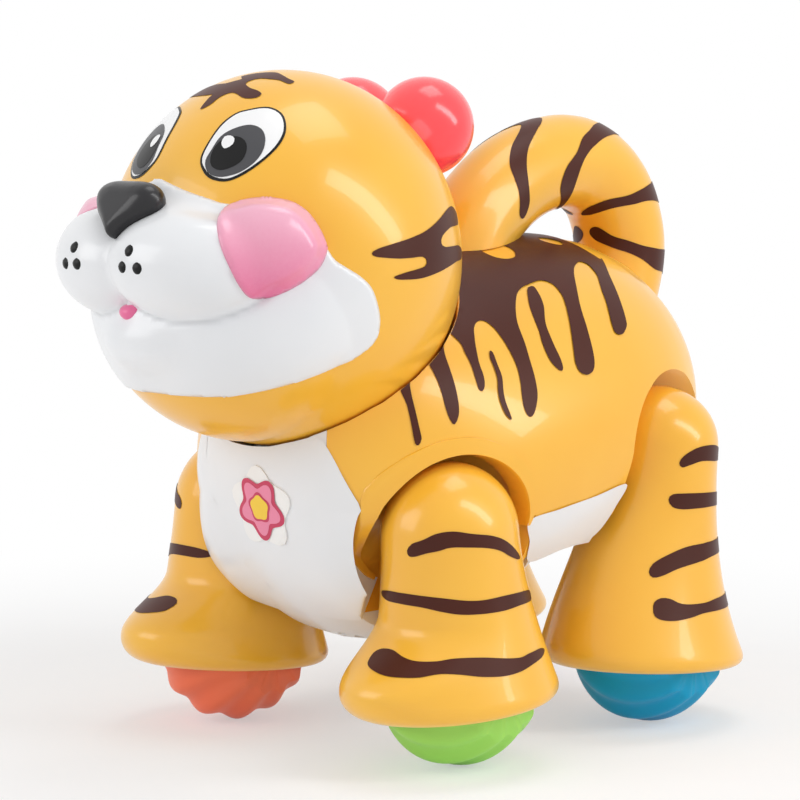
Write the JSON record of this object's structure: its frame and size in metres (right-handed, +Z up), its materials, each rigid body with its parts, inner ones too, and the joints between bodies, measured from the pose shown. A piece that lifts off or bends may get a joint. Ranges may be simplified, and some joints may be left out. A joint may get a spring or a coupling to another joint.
{
  "type": "walking toy tiger",
  "caption": "Battery walking toy tiger with swinging bell-shaped legs on ridged rollers, a turning round head, see-through ears and a tail curled into a carrying loop.",
  "frame": {"origin": "middle of the bounding box on the floor under the rollers", "axes": "+Z up, -Y the way the face looks, +X the toy's left side"},
  "size_m": [0.1204, 0.1877, 0.1634],
  "materials": {
    "yellow": "glossy moulded",
    "white": "glossy moulded",
    "nose_black": "glossy painted",
    "pink": "glossy painted",
    "ear_red": "see-through moulded",
    "sticker": "printed film",
    "roller_green": "satin moulded",
    "roller_red": "satin moulded",
    "roller_blue": "satin moulded",
    "roller_purple": "satin moulded",
    "steel": "bright",
    "motor_case": "bright",
    "gear_case": "moulded",
    "cell_wrap": "printed wrap",
    "board": "lacquered",
    "speaker_black": "moulded",
    "switch_red": "moulded",
    "lamp": "clear"
  },
  "bodies": {
    "body": {"body_shell": "yellow", "belly_plate": "white", "tail_handle": "yellow", "neck_post": "white", "battery_door": "white", "door_screw": "steel", "battery_tray": "white", "battery_cells": "cell_wrap", "battery_contacts": "steel", "gear_unit": "gear_case", "motor": "motor_case", "hip_pins": "steel", "circuit_board": "board", "speaker": "speaker_black", "belly_screws": "steel", "switch_housing": "gear_case", "chest_sticker": "sticker"},
    "head": {"head_shell": "yellow", "muzzle": "white", "nose": "nose_black", "tongue": "pink", "cheek_left": "pink", "cheek_right": "pink", "ear_left": "ear_red", "ear_right": "ear_red", "ear_lamps": "lamp", "head_hub": "white"},
    "switch": {"switch_slider": "switch_red"},
    "leg_front_left": {"leg_front_left": "yellow", "axle_front_left": "steel"},
    "leg_front_right": {"leg_front_right": "yellow", "axle_front_right": "steel"},
    "leg_rear_left": {"leg_rear_left": "yellow", "axle_rear_left": "steel"},
    "leg_rear_right": {"leg_rear_right": "yellow", "axle_rear_right": "steel"},
    "roller_front_left": {"roller_front_left": "roller_green"},
    "roller_front_right": {"roller_front_right": "roller_red"},
    "roller_rear_left": {"roller_rear_left": "roller_blue"},
    "roller_rear_right": {"roller_rear_right": "roller_purple"}
  },
  "joints": [
    {"name": "head_turn", "type": "hinge", "parent": "body", "child": "head", "pos_m": [0, -0.0371, 0.1], "axis": [0, 0, 1], "range_deg": [-15, 15]},
    {"name": "power_switch", "type": "slide", "parent": "body", "child": "switch", "axis": [0, 1, 0], "range_m": [-0.002, 0.002]},
    {"name": "hip_front_left", "type": "hinge", "parent": "body", "child": "leg_front_left", "pos_m": [0.0375, -0.0191, 0.05541], "axis": [1, 0, 0], "range_deg": [-12, 4]},
    {"name": "hip_front_right", "type": "hinge", "parent": "body", "child": "leg_front_right", "pos_m": [-0.0375, -0.0191, 0.05541], "axis": [1, 0, 0], "range_deg": [-4, 12]},
    {"name": "hip_rear_left", "type": "hinge", "parent": "body", "child": "leg_rear_left", "pos_m": [0.0375, 0.0549, 0.07038], "axis": [1, 0, 0], "range_deg": [-4, 12]},
    {"name": "hip_rear_right", "type": "hinge", "parent": "body", "child": "leg_rear_right", "pos_m": [-0.0375, 0.0549, 0.07038], "axis": [1, 0, 0], "range_deg": [-12, 4]},
    {"name": "spin_front_left", "type": "hinge", "parent": "leg_front_left", "child": "roller_front_left", "pos_m": [0.0375, -0.01666, 0.0205], "axis": [1, 0, 0], "continuous": true},
    {"name": "spin_front_right", "type": "hinge", "parent": "leg_front_right", "child": "roller_front_right", "pos_m": [-0.0375, -0.02154, 0.0205], "axis": [1, 0, 0], "continuous": true},
    {"name": "spin_rear_left", "type": "hinge", "parent": "leg_rear_left", "child": "roller_rear_left", "pos_m": [0.0375, 0.05141, 0.0205], "axis": [1, 0, 0], "continuous": true},
    {"name": "spin_rear_right", "type": "hinge", "parent": "leg_rear_right", "child": "roller_rear_right", "pos_m": [-0.0375, 0.05839, 0.0205], "axis": [1, 0, 0], "continuous": true}
  ],
  "couplings": [
    {"joint": "hip_front_right", "follows": "hip_front_left", "ratio": -1},
    {"joint": "hip_rear_left", "follows": "hip_front_left", "ratio": -1},
    {"joint": "hip_rear_right", "follows": "hip_front_left", "ratio": 1}
  ]
}
